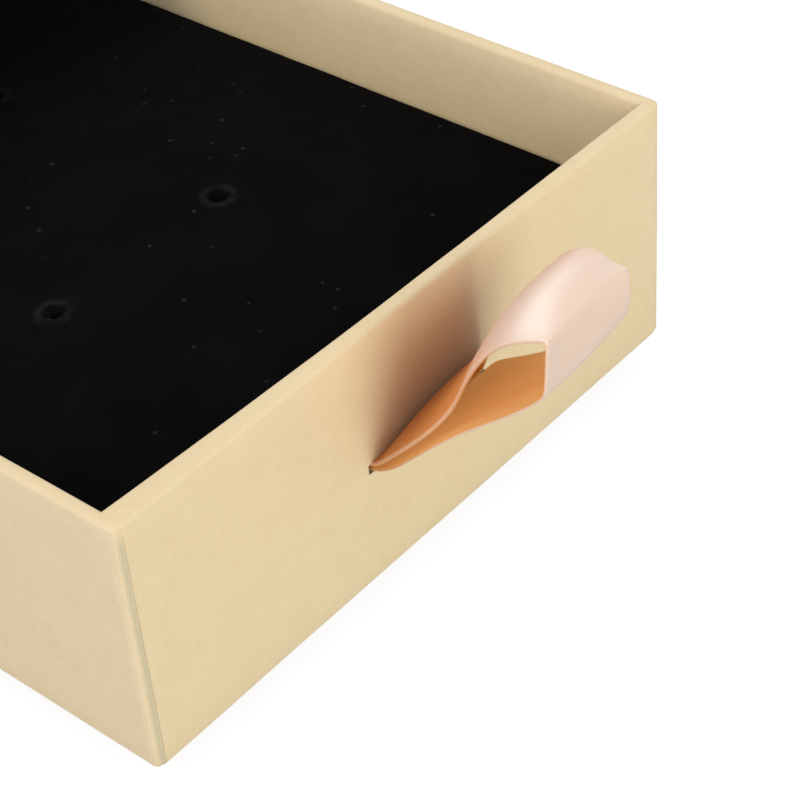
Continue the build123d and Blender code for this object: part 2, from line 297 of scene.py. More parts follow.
def add_relief(tree, shader, x, y, height, strength, distance):
    """Fine relief in the surface, from a height and a distance in metres."""
    relief = add(tree, "ShaderNodeBump", x, y, Strength=strength, Distance=distance)
    tree.links.new(height, relief.inputs["Height"])
    tree.links.new(relief.outputs["Normal"], shader.inputs["Normal"])


def mix_surfaces(tree, output, x, y, factor, first, second):
    """Mixes two shaders into a surface. The factor is a number or a socket."""
    mix = add(tree, "ShaderNodeMixShader", x, y)
    if isinstance(factor, (int, float)):
        mix.inputs[0].default_value = factor
    else:
        tree.links.new(factor, mix.inputs[0])
    tree.links.new(first.outputs[0], mix.inputs[1])
    tree.links.new(second.outputs[0], mix.inputs[2])
    tree.links.new(mix.outputs[0], tree.nodes[output].inputs["Surface"])


# ---- shared effects -------------------------------------------------------------------------
MOTTLE_SCALES = (260, 45)
FIBRE_SCALE = 3200
FIBRE_STRETCH = (1.0, 0.32, 0.36)
FIBRE_TURN = (0.5, 0.3, 0.4)
SHIVE_SCALE = 240
FINE_SCALE = 4200
RUBBED_PATCH_SCALE = 500


def paper_grain_group():
    """Mottling, long fibres and a few dark shives of unbleached paper."""
    tree, start, end = new_group(
        "paper_grain",
        [("Vector", "NodeSocketVector", None),
         ("Fibre Scale", "NodeSocketFloat", FIBRE_SCALE)],
        [("Mottle", "NodeSocketFloat"), ("Fibres", "NodeSocketFloat"),
         ("Shives", "NodeSocketFloat"), ("Height", "NodeSocketFloat")])
    vector = start.outputs["Vector"]
    cloud = noise(tree, -900, 400, vector, MOTTLE_SCALES[0], detail=4)
    broad = noise(tree, -900, 600, vector, MOTTLE_SCALES[1], detail=2)
    mottle = math_node(tree, -500, 500, "ADD", cloud.outputs["Fac"], broad.outputs["Fac"])
    stretched = add(tree, "ShaderNodeMapping", -1000, 0, Scale=FIBRE_STRETCH,
                    Rotation=FIBRE_TURN)
    tree.links.new(vector, stretched.inputs["Vector"])
    fibres = noise(tree, -700, 100, stretched.outputs[0], FIBRE_SCALE, detail=2,
                   distortion=0.8)
    tree.links.new(start.outputs["Fibre Scale"], fibres.inputs["Scale"])
    dots = add(tree, "ShaderNodeTexVoronoi", -700, -250, Scale=SHIVE_SCALE)
    tree.links.new(stretched.outputs[0], dots.inputs["Vector"])
    shives = ramp(tree, -400, -250, dots.outputs["Distance"], 0.05, 0.11, 1.0, 0.0)
    rare = ramp(tree, -400, -450, dots.outputs["Color"], 0.80, 0.84)
    shives = math_node(tree, -200, -300, "MULTIPLY", shives, rare)
    fine = noise(tree, -700, -600, vector, FINE_SCALE, detail=3)
    height = math_node(tree, 0, -500, "ADD", fine.outputs["Fac"], fibres.outputs["Fac"])
    tree.links.new(ramp(tree, -200, 500, mottle, 0.7, 1.3), end.inputs["Mottle"])
    tree.links.new(ramp(tree, -400, 100, fibres.outputs["Fac"], 0.35, 0.65),
                   end.inputs["Fibres"])
    tree.links.new(shives, end.inputs["Shives"])
    tree.links.new(height, end.inputs["Height"])
    return tree


def edge_wear_group():
    """A mask of outward edges, broken up by noise, where handling rubs the surface."""
    tree, start, end = new_group(
        "edge_wear", [("Vector", "NodeSocketVector", None)], [("Mask", "NodeSocketFloat")])
    geometry = add(tree, "ShaderNodeNewGeometry", -900, 0)
    pointed = ramp(tree, -600, 0, geometry.outputs["Pointiness"], 0.52, 0.60)
    patches = noise(tree, -900, -300, start.outputs["Vector"], RUBBED_PATCH_SCALE, detail=4)
    broken = ramp(tree, -600, -300, patches.outputs["Fac"], 0.35, 0.65)
    tree.links.new(math_node(tree, -300, 0, "MULTIPLY", pointed, broken), end.inputs["Mask"])
    return tree


def dust_group():
    """Sparse pale lint and dust specks."""
    tree, start, end = new_group(
        "dust", [("Vector", "NodeSocketVector", None), ("Scale", "NodeSocketFloat", 300.0),
                 ("Rarity", "NodeSocketFloat", 0.9)],
        [("Mask", "NodeSocketFloat")])
    cells = add(tree, "ShaderNodeTexVoronoi", -800, 0)
    tree.links.new(start.outputs["Vector"], cells.inputs["Vector"])
    tree.links.new(start.outputs["Scale"], cells.inputs["Scale"])
    speck = ramp(tree, -500, 0, cells.outputs["Distance"], 0.06, 0.16, 1.0, 0.0)
    chosen = add(tree, "ShaderNodeMath", -500, -250, operation="GREATER_THAN")
    tree.links.new(cells.outputs["Color"], chosen.inputs[0])
    tree.links.new(start.outputs["Rarity"], chosen.inputs[1])
    tree.links.new(math_node(tree, -200, 0, "MULTIPLY", speck, chosen.outputs[0]),
                   end.inputs["Mask"])
    return tree


PAPER_GRAIN = paper_grain_group()
EDGE_WEAR = edge_wear_group()
DUST = dust_group()


# ---- materials ------------------------------------------------------------------------------
# Where the seam's dark line (painted shade, and glue) fades: mm past the seam, behind the
# front and below the rim.
SEAM_SHADE_FADES_IN = (-0.25, 0.1)
SEAM_SHADE_FADES_OUT = (0.3, 0.75)
SEAM_SHADE_BEHIND_FRONT = (0.2, 0.6)
SEAM_SHADE_BELOW_RIM = (2.5, 0.8)
# Tint of the seam's dark line: painted shade of the front flap's edge, with some glue.
SEAM_SHADE_TINT = (0.80, 0.86, 0.94)


def seam_shade_and_glue_line(tree, vector):
    """A mask of the soft dark line along the seam at the front left corner: painted shade
    where the front flap's edge shades the seam, and glue.
    """
    split = add(tree, "ShaderNodeSeparateXYZ", -1400, 900)
    tree.links.new(vector, split.inputs[0])
    aside = math_node(tree, -1200, 900, "MULTIPLY", split.outputs["X"], -1)
    seam = DRAWER_HIGH.x - SEAM_FROM_CORNER
    starts = ramp(tree, -1000, 900, aside, *(seam + mm * MM for mm in SEAM_SHADE_FADES_IN))
    ends = ramp(tree, -1000, 1100, aside, *(seam + mm * MM for mm in SEAM_SHADE_FADES_OUT), 1.0, 0.0)
    along = math_node(tree, -800, 900, "MULTIPLY", starts, ends)
    ahead = ramp(tree, -1000, 1300, split.outputs["Y"],
                 *(FRONT_Y + mm * MM for mm in SEAM_SHADE_BEHIND_FRONT), 1.0, 0.0)
    below = ramp(tree, -1000, 1500, split.outputs["Z"],
                 *(RIM_Z - mm * MM for mm in SEAM_SHADE_BELOW_RIM), 1.0, 0.0)
    in_front = math_node(tree, -600, 900, "MULTIPLY", along, ahead)
    return math_node(tree, -400, 1000, "MULTIPLY", in_front, below)


FIBRE_AMOUNT = 0.3
SHIVE_AMOUNT = 0.35
SHIVE_SHADE = 0.45
RUBBED_AMOUNT = 0.3
PAPER_ROUGHNESS = (0.85, 0.70)
PAPER_GLOSS = 0.3
PAPER_RELIEF = 0.03 * MM


def paper_material(name, base, light, dark, bump):
    """Paper: mottled from dark to base, paler in its fibres and where rubbed, with dark
    shives."""
    material, tree, shader = new_material(name)
    place = add(tree, "ShaderNodeTexCoord", -1400, 0).outputs["Object"]
    grain = place_group(tree, PAPER_GRAIN, -1100, 0, place)
    wear = place_group(tree, EDGE_WEAR, -1100, -400, place)
    colour = mix_colour(tree, -800, 300, grain.outputs["Mottle"], dark, base)
    fibres = math_node(tree, -800, 0, "MULTIPLY", grain.outputs["Fibres"], FIBRE_AMOUNT)
    colour = mix_colour(tree, -600, 300, fibres, colour, light)
    shives = math_node(tree, -800, -150, "MULTIPLY", grain.outputs["Shives"], SHIVE_AMOUNT)
    shive_colour = tuple(value * SHIVE_SHADE for value in dark[:3]) + (1,)
    colour = mix_colour(tree, -400, 300, shives, colour, shive_colour)
    rubbed = math_node(tree, -600, -400, "MULTIPLY", wear.outputs["Mask"], RUBBED_AMOUNT)
    colour = mix_colour(tree, -200, 300, rubbed, colour, light)
    # The seam's dark line is painted shade of the front flap's edge, with some glue.
    seam_shade_and_glue_colour = tuple(value * shade for value, shade in zip(dark, SEAM_SHADE_TINT)) + (1,)
    colour = mix_colour(tree, -200, 600, seam_shade_and_glue_line(tree, place), colour, seam_shade_and_glue_colour)
    tree.links.new(colour, shader.inputs["Base Color"])
    tree.links.new(ramp(tree, -400, 0, grain.outputs["Mottle"], 0, 1, *PAPER_ROUGHNESS),
                   shader.inputs["Roughness"])
    shader.inputs["Specular IOR Level"].default_value = PAPER_GLOSS
    add_relief(tree, shader, -300, -300, grain.outputs["Height"], bump, PAPER_RELIEF)
    return material


VELVET_DEEP = (0.0038, 0.0039, 0.0042, 1)
VELVET_PALE = (0.0054, 0.0055, 0.0059, 1)
RUBBED_PILE = (0.020, 0.020, 0.021, 1)
LINT = (0.35, 0.34, 0.33, 1)
LINT_AMOUNT = 0.06
CRUSHED_SCALE = 120
PILE_SCALE = 5200
PILE_RELIEF = 0.1 * MM
RING_BREAK_SCALE = 900
RING_INSIDE = (1.0 * MM, 1.5 * MM)      # from the middle of a pin hole
RING_OUTSIDE = (1.7 * MM, 2.4 * MM)
RING_AMOUNT = 0.6


def pin_hole_ring(tree, y, vector, hole):
    """A mask of the ring of rubbed pile round one pin hole."""
    away = add(tree, "ShaderNodeVectorMath", -1100, y, operation="DISTANCE")
    away.inputs[1].default_value = (hole[0], hole[1], PAD_HIGH.z)
    tree.links.new(vector, away.inputs[0])
    rising = ramp(tree, -900, y, away.outputs["Value"], *RING_INSIDE)
    falling = ramp(tree, -700, y, away.outputs["Value"], *RING_OUTSIDE, RING_AMOUNT, 0.0)
    return math_node(tree, -500, y, "MULTIPLY", rising, falling)


def velvet_material():
    """Black flock: very dark, with a soft sheen, crushed patches, a little lint and a broken
    ring of rubbed pile round each pin hole."""
    material, tree, shader = new_material("black_velvet")
    vector = add(tree, "ShaderNodeTexCoord", -1400, 0).outputs["Object"]
    patches = noise(tree, -1100, 200, vector, CRUSHED_SCALE, detail=4)
    patches = ramp(tree, -950, 200, patches.outputs["Fac"], 0.35, 0.7)
    colour = mix_colour(tree, -800, 200, patches, VELVET_DEEP, VELVET_PALE)
    broken = noise(tree, -1100, -1600, vector, RING_BREAK_SCALE, detail=2)
    broken = ramp(tree, -900, -1600, broken.outputs["Fac"], 0.4, 0.62, 0.25, 1.0)
    for number, hole in enumerate(PIN_HOLES):
        y = -700 - 200 * number
        ring = pin_hole_ring(tree, y, vector, hole)
        ring = math_node(tree, -400, y, "MULTIPLY", ring, broken)
        colour = mix_colour(tree, -300, y, ring, colour, RUBBED_PILE)
    lint = place_group(tree, DUST, -1100, -400, vector, Scale=520.0, Rarity=0.74)
    amount = math_node(tree, -800, -400, "MULTIPLY", lint.outputs["Mask"], LINT_AMOUNT)
    colour = mix_colour(tree, -500, 200, amount, colour, LINT)
    tree.links.new(colour, shader.inputs["Base Color"])
    shader.inputs["Roughness"].default_value = 1.0
    shader.inputs["Specular IOR Level"].default_value = 0.0
    shader.inputs["Sheen Weight"].default_value = 0.02
    shader.inputs["Sheen Roughness"].default_value = 0.4
    pile = noise(tree, -1100, -100, vector, PILE_SCALE, detail=2)
    add_relief(tree, shader, -400, -200, pile.outputs["Fac"], 0.6, PILE_RELIEF)
    return material


FOAM_SKIN = (0.03, 0.03, 0.032, 1)
FOAM_CELL = (0.012, 0.012, 0.012, 1)
FOAM_SCALE = 1800
FOAM_RELIEF = 0.3 * MM


def foam_material():
    """Dark foam with open cells."""
    material, tree, shader = new_material("pad_foam")
    place = add(tree, "ShaderNodeTexCoord", -1400, 0)
    cells = add(tree, "ShaderNodeTexVoronoi", -1000, 0, Scale=FOAM_SCALE)
    tree.links.new(place.outputs["Object"], cells.inputs["Vector"])
    colour = mix_colour(tree, -500, 200, cells.outputs["Distance"], FOAM_SKIN, FOAM_CELL)
    tree.links.new(colour, shader.inputs["Base Color"])
    shader.inputs["Roughness"].default_value = 0.95
    add_relief(tree, shader, -400, -200, cells.outputs["Distance"], 0.8, FOAM_RELIEF)
    return material


# The ribbon's left cut edge is painted a darker orange, most near the slit: painted shade.
SATIN_EDGE_SHADE = (0.72, 0.36, 0.17, 1)
SATIN_RELIEF = 0.03 * MM
FLOAT_STRETCH = (1.0, 0.06, 1.0)
FLOAT_SCALE = 420
RIB_SCALE = 95
# Shares of the ribbon's length, over which painted shade deepens its colour towards the slit,
# and of its width, where the selvage and its cut edge end.
UPPER_STRAND = (0.51, 0.65)
LOWER_STRAND = (0.15, 0.26)
SELVAGE = (0.05, 0.10)
CUT_EDGE = (0.006, 0.014)


def satin_material(name, base, thread, painted_shade_colour, roughness, gloss, glow):
    """Satin ribbon: fine cross ribs and long floats, woven along the ribbon's own UV map.
    Painted shade deepens its colour and dulls its gloss towards the slit and on its left cut
    edge. The inner face glows with light that comes through the thin cloth from outside."""
    material, tree, shader = new_material(name)
    place = add(tree, "ShaderNodeUVMap", -1400, 0).outputs[0]
    split = add(tree, "ShaderNodeSeparateXYZ", -1200, 0)
    tree.links.new(place, split.inputs[0])
    across, along = split.outputs["X"], split.outputs["Y"]
    floats = add(tree, "ShaderNodeMapping", -1200, 300, Scale=FLOAT_STRETCH)
    tree.links.new(place, floats.inputs["Vector"])
    threads = noise(tree, -900, 300, floats.outputs[0], FLOAT_SCALE, detail=2)
    colour = mix_colour(tree, -500, 300,
                        ramp(tree, -700, 300, threads.outputs["Fac"], 0.3, 0.7), base, thread)
    # Painted shade: the colour deepens on both strands towards the slit, less at the left
    # selvage.
    upper = ramp(tree, -900, 700, along, *UPPER_STRAND)
    lower = ramp(tree, -900, 900, along, *LOWER_STRAND, 1.0, 0.0)
    near_slit = math_node(tree, -700, 800, "MAXIMUM", upper, lower)
    inside_selvage = ramp(tree, -900, 1100, across, *SELVAGE, 0.55, 1.0)
    painted_shade_mask = math_node(tree, -500, 800, "MULTIPLY", near_slit, inside_selvage)
    colour = mix_colour(tree, -300, 300, painted_shade_mask, colour, painted_shade_colour)
    # Painted shade: the left cut edge turns darker orange, most near the slit.
    cut_edge = ramp(tree, -900, 1300, across, *CUT_EDGE, 1.0, 0.0)
    edge = math_node(tree, -500, 1300, "MULTIPLY", cut_edge,
                     ramp(tree, -700, 1500, near_slit, 0, 1, 0.35, 1.0))
    colour = mix_colour(tree, -100, 300, edge, colour, SATIN_EDGE_SHADE)
    tree.links.new(colour, shader.inputs["Base Color"])
    shader.inputs["Roughness"].default_value = roughness
    # Where the painted shade deepens the colour, the gloss and sheen are dulled too.
    painted_shade_matt = math_node(tree, -100, 600, "MAXIMUM", painted_shade_mask, edge)
    tree.links.new(ramp(tree, -300, 700, painted_shade_matt, 0, 1, gloss, 0.25 * gloss),
                   shader.inputs["Specular IOR Level"])
    tree.links.new(ramp(tree, -300, 900, painted_shade_matt, 0, 1, 0.7 * gloss, 0),
                   shader.inputs["Sheen Weight"])
    shader.inputs["Sheen Roughness"].default_value = 0.4
    ribs = add(tree, "ShaderNodeTexWave", -900, -200, wave_type="BANDS", bands_direction="Y",
               Scale=RIB_SCALE, Distortion=0.6)
    tree.links.new(place, ribs.inputs["Vector"])
    height = math_node(tree, -600, -200, "ADD", threads.outputs["Fac"], ribs.outputs["Fac"])
    add_relief(tree, shader, -400, -200, height, 0.25, SATIN_RELIEF)
    if glow:
        through = add(tree, "ShaderNodeBsdfTranslucent", 200, -300, Color=base)
        share = glow
    else:
        through = add(tree, "ShaderNodeBsdfTransparent", 200, -300)
        share = add(tree, "ShaderNodeNewGeometry", 0, 600).outputs["Backfacing"]
    mix_surfaces(tree, "Material Output", 500, 200, share, shader, through)
    return material


KRAFT = paper_material("kraft_paper", (0.80, 0.67, 0.425, 1), (0.84, 0.725, 0.49, 1),
                       (0.76, 0.625, 0.385, 1), 0.35)
GREYBOARD = paper_material("greyboard", (0.30, 0.27, 0.235, 1), (0.42, 0.39, 0.35, 1),
                           (0.22, 0.195, 0.165, 1), 0.8)
GUMMED_TAPE = paper_material("gummed_tape", (0.42, 0.25, 0.12, 1), (0.55, 0.36, 0.2, 1),
                             (0.33, 0.19, 0.085, 1), 0.4)
VELVET = velvet_material()
FOAM = foam_material()
# The inner face is an orange copy of the satin: painted shade of the light between the
# strands.
SATIN_FACE = satin_material("satin_ribbon", (0.90, 0.66, 0.51, 1), (0.93, 0.72, 0.58, 1),
                            (0.66, 0.25, 0.07, 1), 0.42, 0.9, 0)
SATIN_SHADED_BACK = satin_material("satin_ribbon_back_painted_shade", (0.96, 0.51, 0.17, 1), (0.97, 0.56, 0.21, 1),
                            (0.88, 0.41, 0.10, 1), 0.6, 0.25, 0.5)

SLOT_MATERIALS = {"kraft_paper": KRAFT, "greyboard": GREYBOARD, "gummed_tape": GUMMED_TAPE,
                  "pad_foam": FOAM, "black_velvet": VELVET, "satin_ribbon": SATIN_FACE}


def dress_cad_nodes():
    """Gives every carried-over node the finish of its slot."""
    for part in frame["record"]["subparts"]:
        node = frame["nodes"][part["node"]]
        node.data.materials.clear()
        node.data.materials.append(SLOT_MATERIALS[part["material_slot"]])


def settle(piece, body, slot, material, *nodes):
    """Gives a finished piece its material, unless it has one, and its body, and hides the
    nodes that it stands for. The slot is not used.
    """
    if not piece.data.materials:
        piece.data.materials.append(material)
    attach(piece, body)
    if nodes:
        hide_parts(*nodes)
    return piece


# ---- drawer covering paper ------------------------------------------------------------------
def is_fold_edge(edge, axis, place):
    """True for an edge between a face that looks along an axis and one that doesn't."""
    if not all(at(vert.co[axis], place) for vert in edge.verts):
        return False
    broadside = [abs(face.normal[axis]) > BROADSIDE for face in edge.link_faces]
    return len(broadside) == 2 and broadside[0] != broadside[1]


def is_side(face, axis, place):
    """True for a face that looks along an axis from this place on it."""
    return abs(face.normal[axis]) > BROADSIDE and at(face.calc_center_median()[axis], place)


def turn_in_mouth(piece, axis, place, inward, wall, depth):
    """Opens one side of a block: leaves a rim as wide as the wall and turns the paper in."""
    pick(piece, "FACE", lambda face: is_side(face, axis, place))
    bpy.ops.mesh.inset(thickness=wall, use_even_offset=True)
    bpy.ops.mesh.remove_doubles(threshold=WALL_SLACK)
    move = [0, 0, 0]
    move[axis] = inward * depth
    pick(piece, "FACE", lambda face: is_side(face, axis, place)
         and face.calc_area() > MOUTH_AREA)
    bpy.ops.mesh.extrude_region_move(TRANSFORM_OT_translate={"value": move})
    bpy.ops.mesh.delete(type="FACE")


def cut_slit(piece):
    """Cuts the ribbon's slit through the front paper."""
    x = (RIBBON_X - SLIT_WIDTH / 2, RIBBON_X + SLIT_WIDTH / 2)
    z = (UNDERSIDE_Z + SLIT_BOTTOM, UNDERSIDE_Z + SLIT_TOP)
    cut_across(piece, 0, x)
    cut_across(piece, 2, z)
    pick(piece, "FACE", lambda face: x[0] < face.calc_center_median().x < x[1]
         and z[0] < face.calc_center_median().z < z[1]
         and face.calc_center_median().y < FRONT_Y + FOLD_SLACK)
    bpy.ops.mesh.delete(type="FACE")


def raise_front_and_back_flaps(piece):
    """The front and back flaps lap over the side tabs and stop just short of the corners."""
    reach = DRAWER_HIGH.x - SEAM_FROM_CORNER
    cut_across(piece, 0, (-reach, reach))
    for facing, wall in ((-1, DRAWER_LOW.y), (1, DRAWER_HIGH.y)):
        pick(piece, "FACE", lambda face: face.normal.y * facing > 0.3
             and abs(face.calc_center_median().x) < reach
             and abs(face.calc_center_median().y - wall) < WALL_SLACK)
        bpy.ops.mesh.extrude_region_move(
            TRANSFORM_OT_translate={"value": (0, facing * SEAM_STEP, 0)})


def sharpen_corners(piece):
    """Pulls the four round upright corners out to the tight corners of folded paper."""
    power = CORNER_TIGHTNESS
    middle_y = (DRAWER_LOW.y + DRAWER_HIGH.y) / 2
    half_y = DRAWER_HIGH.y - middle_y
    for vert in piece.data.vertices:
        out_x = abs(vert.co.x) - (DRAWER_HIGH.x - DRAWER_CORNER)
        out_y = abs(vert.co.y - middle_y) - (half_y - DRAWER_CORNER)
        if out_x > 0 and out_y > 0:
            squarer = (out_x ** power + out_y ** power) ** (1 / power)
            pull = math.hypot(out_x, out_y) / squarer - 1
            vert.co.x += math.copysign(out_x * pull, vert.co.x)
            vert.co.y += math.copysign(out_y * pull, vert.co.y - middle_y)


def swell_turn_in(piece):
    """The paper turned in over the front wall stands off it, most at the left corner."""
    inner = FRONT_Y + DRAWER_WALL
    for vert in piece.data.vertices:
        down = (RIM_Z - vert.co.z) / SWELL_DEPTH
        near = 1 - abs(vert.co.y - inner) / DRAWER_WALL
        if 0 <= down < 1 and near > 0 and vert.co.y > FRONT_Y + SWELL_STARTS:
            leftward = (DRAWER_HIGH.x - vert.co.x) / (DRAWER_HIGH.x - DRAWER_LOW.x)
            vert.co.y += SWELL * leftward ** 3 * (1 - down) ** 0.7 * near ** 0.5


def drawer_paper():
    """One sheet round the drawer: base, walls, over the rim and down inside."""
    piece = start_block("drawer_covering_paper", DRAWER_LOW, DRAWER_HIGH)
    bevel_edges(piece, lambda edge: is_long(edge, 2), DRAWER_CORNER, 6)
    turn_in_mouth(piece, 2, RIM_Z, -1, DRAWER_WALL, DRAWER_TURN_IN)
    bevel_edges(piece, lambda edge: is_fold_edge(edge, 2, RIM_Z)
                or is_fold_edge(edge, 2, DRAWER_LOW.z), DRAWER_FOLD, 4)
    cut_slit(piece)
    raise_front_and_back_flaps(piece)
    cut_into_grid(piece, DRAWER_LOW, DRAWER_HIGH, GRID)
    leave_edit()
    sharpen_corners(piece)
    swell_turn_in(piece)
    run_uneven(piece, *DRAWER_UNEVEN)
    finish_modifier(piece, "SOLIDIFY", thickness=PAPER, offset=-1)
    flatten_underside(piece, DRAWER_LOW.z)
    smooth(piece, PAPER_CREASE)
    return settle(piece, "drawer", "kraft_paper", KRAFT, "drawer_wrap")


# ---- sleeve covering paper ------------------------------------------------------------------
def sleeve_paper():
    """One sheet round the sleeve, turned in at the mouth, with flaps over the back board and
    under the base board."""
    piece = start_block("sleeve_covering_paper", SLEEVE_LOW, SLEEVE_HIGH)
    bevel_edges(piece, lambda edge: is_long(edge, 1), SLEEVE_CORNER, 6)
    turn_in_mouth(piece, 1, SLEEVE_LOW.y, 1, SLEEVE_WALL, SLEEVE_TURN_IN)
    bevel_edges(piece, lambda edge: is_fold_edge(edge, 1, SLEEVE_LOW.y)
                or is_fold_edge(edge, 1, SLEEVE_HIGH.y), SLEEVE_FOLD, 3)
    sheet_low, sheet_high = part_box("sleeve_base_sheet")
    cut_across(piece, 0, (sheet_low.x, sheet_high.x))
    pick(piece, "FACE", lambda face: sheet_low.x < face.calc_center_median().x < sheet_high.x
         and face.calc_center_median().z < LOW_DOWN)
    bpy.ops.mesh.delete(type="FACE")
    cut_into_grid(piece, SLEEVE_LOW, SLEEVE_HIGH, GRID)
    leave_edit()
    run_uneven(piece, *SLEEVE_UNEVEN)
    finish_modifier(piece, "SOLIDIFY", thickness=PAPER, offset=-1)
    flatten_underside(piece, SLEEVE_LOW.z)
    smooth(piece, PAPER_CREASE)
    return settle(piece, "sleeve", "kraft_paper", KRAFT, "sleeve_wrap")


# ---- pad: foam block and velvet cover -------------------------------------------------------
PIN_HOLE_RADIUS = 1.0 * MM
FOAM_HOLE_RADIUS = 1.3 * PIN_HOLE_RADIUS
VELVET_HOLE_DEPTH = 4.5 * MM
FOAM_HOLE_DEPTH = 8 * MM
HOLE_LIP = 0.12 * MM
LIP_PEAK = 1.7              # radii from the middle of a pin hole
LIP_WIDTH = 1.3
LIP_END = 3
FINER_ROUND_HOLES = (4.0 * MM, 3.2 * MM, 2.4 * MM)
TURN_UNDER = 8.0 * MM
VELVET_THICK = 0.45 * MM
VELVET_UNEVEN = (6 * MM, 0.10 * MM)
PAD_CROWN = 0.12 * MM
PAD_LEAN = 0.4 * MM         # the right side stands this much high, and the left side low
PAD_SEGMENTS = 4


def soft_block(name, low, high, corner, edge, step):
    """A block with rounded upright corners and top edges, cut into a fine grid."""
    piece = start_block(name, low, high)
    bevel_edges(piece, lambda item: is_long(item, 2), corner, PAD_SEGMENTS)
    bevel_edges(piece, lambda item: is_fold_edge(item, 2, high[2]), edge, PAD_SEGMENTS)
    cut_into_grid(piece, low, high, step)
    return piece


def from_nearest_hole(place):
    """How far a place is from the middle of the nearest pin hole, seen from above."""
    return min(math.dist(place.xy, hole) for hole in PIN_HOLES)


def refine_round_holes(piece, top):
    """Divides the faces round each pin hole finely enough to press a hole into them."""
    for reach in FINER_ROUND_HOLES:
        pick(piece, "FACE", lambda face: face.normal.z > 0.5
             and face.calc_center_median().z > top
             and from_nearest_hole(face.calc_center_median()) < reach)
        bpy.ops.mesh.subdivide(number_cuts=1)


def press_pin_holes(piece, top, depth, radius, lip):
    """Pushes the surface down in the pin holes and lifts a small lip round them."""
    for vert in piece.data.vertices:
        if vert.co.z < top:
            continue
        away = from_nearest_hole(vert.co) / radius
        if away < 1:
            vert.co.z -= depth * (1 - away ** 2)
        elif away < LIP_END:
            vert.co.z += lip * (1 - abs(away - LIP_PEAK) / LIP_WIDTH)


def crown_and_lean(piece, top):
    """Lets the top fall a little towards its edges, and sit higher at its right side."""
    half = (PAD_HIGH - PAD_LOW) / 2
    centre = (PAD_HIGH + PAD_LOW) / 2
    for vert in piece.data.vertices:
        if vert.co.z > top:
            across = abs(vert.co.x - centre.x) / half.x
            along = abs(vert.co.y - centre.y) / half.y
            vert.co.z -= PAD_CROWN * max(across, along) ** 6
            vert.co.z += PAD_LEAN * (vert.co.x - centre.x) / half.x


def velvet_cover():
    """Flocked cloth over the pad, turned under its bottom edges."""
    piece = soft_block("pad_velvet_cover", PAD_LOW, PAD_HIGH, corner=1.2 * MM, edge=0.8 * MM,
                       step=2.4 * MM)
    inside = PAD_LOW + Vector((TURN_UNDER, TURN_UNDER, 0))
    outside = PAD_HIGH - Vector((TURN_UNDER, TURN_UNDER, 0))
    pick(piece, "FACE", lambda face: face.normal.z < -0.5
         and inside.x < face.calc_center_median().x < outside.x
         and inside.y < face.calc_center_median().y < outside.y)
    bpy.ops.mesh.delete(type="FACE")
    top = PAD_HIGH.z - 1.5 * MM
    refine_round_holes(piece, top)
    leave_edit()
    crown_and_lean(piece, top)
    press_pin_holes(piece, top, VELVET_HOLE_DEPTH, PIN_HOLE_RADIUS, HOLE_LIP)
    run_uneven(piece, *VELVET_UNEVEN)
    finish_modifier(piece, "SOLIDIFY", thickness=VELVET_THICK, offset=-1)
    smooth(piece, 60)
    return settle(piece, "drawer", "black_velvet", VELVET, "insert_velvet")


def foam_block():
    """The foam inside the velvet, with the same pin holes."""
    low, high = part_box("insert_foam")
    piece = soft_block("pad_foam_block", low, high, corner=0.9 * MM, edge=0.5 * MM,
                       step=3 * MM)
    top = high.z - 1.2 * MM
    refine_round_holes(piece, top)
    leave_edit()
    crown_and_lean(piece, top)
    press_pin_holes(piece, top, FOAM_HOLE_DEPTH, FOAM_HOLE_RADIUS, 0)
    smooth(piece, 50)
    return settle(piece, "drawer", "pad_foam", FOAM, "insert_foam")


# ---- ribbon pull ----------------------------------------------------------------------------
# The ribbon's left selvage, middle and right selvage, from one glued tail to the other: mm in
# front of the drawer's face, and above its underside.
LEFT_SELVAGE = ((-1.55, 4.0), (-1.55, 12.6), (-1.1, 13.55), (0.4, 13.65), (2.6, 14.8),
                (5.2, 17.5), (11.0, 23.5), (15.8, 27.3), (19.9, 31.1), (21.0, 32.5),
                (21.2, 35.4), (21.4, 38.5), (19.4, 37.6), (17.4, 36.5), (15.5, 34.9),
                (13.7, 32.4), (12.1, 29.4), (11.2, 27.0), (9.9, 24.7), (7.4, 21.3),
                (4.0, 17.6), (1.2, 14.7), (0.25, 14.15), (-1.3, 14.05), (-1.95, 13.3),
                (-1.95, 4.0))
MIDDLE = ((-1.55, 4.0), (-1.55, 12.6), (-1.1, 13.55), (0.3, 13.65), (2.0, 15.0),
          (4.6, 17.2), (10.0, 21.8), (14.9, 25.8), (18.0, 28.7), (19.0, 30.0),
          (19.2, 33.0), (19.2, 36.1), (17.2, 36.7), (15.0, 36.2), (12.9, 34.7),
          (11.0, 32.3), (9.5, 29.4), (8.0, 26.3), (6.3, 23.3), (4.2, 20.4),
          (2.0, 18.0), (0.45, 16.2), (0.2, 14.15), (-1.3, 14.05), (-1.95, 13.3),
          (-1.95, 4.0))
RIGHT_SELVAGE = ((-1.55, 4.0), (-1.55, 12.6), (-1.1, 13.55), (0.3, 13.8), (1.4, 15.8),
                 (3.8, 17.2), (8.8, 20.2), (13.2, 24.2), (16.4, 27.6), (17.3, 29.0),
                 (17.8, 31.4), (17.4, 34.0), (15.9, 33.7), (14.4, 34.3), (12.6, 34.0),
                 (10.6, 32.4), (8.8, 29.8), (7.4, 26.8), (6.0, 23.8), (4.2, 20.7),
                 (2.2, 18.1), (0.7, 16.2), (0.15, 14.2), (-1.3, 14.05), (-1.95, 13.3),
                 (-1.95, 4.0))
TIP_CREASES = {9: 0.3, 11: 0.5}     # how sharply the rows at the two edges of the tip fold
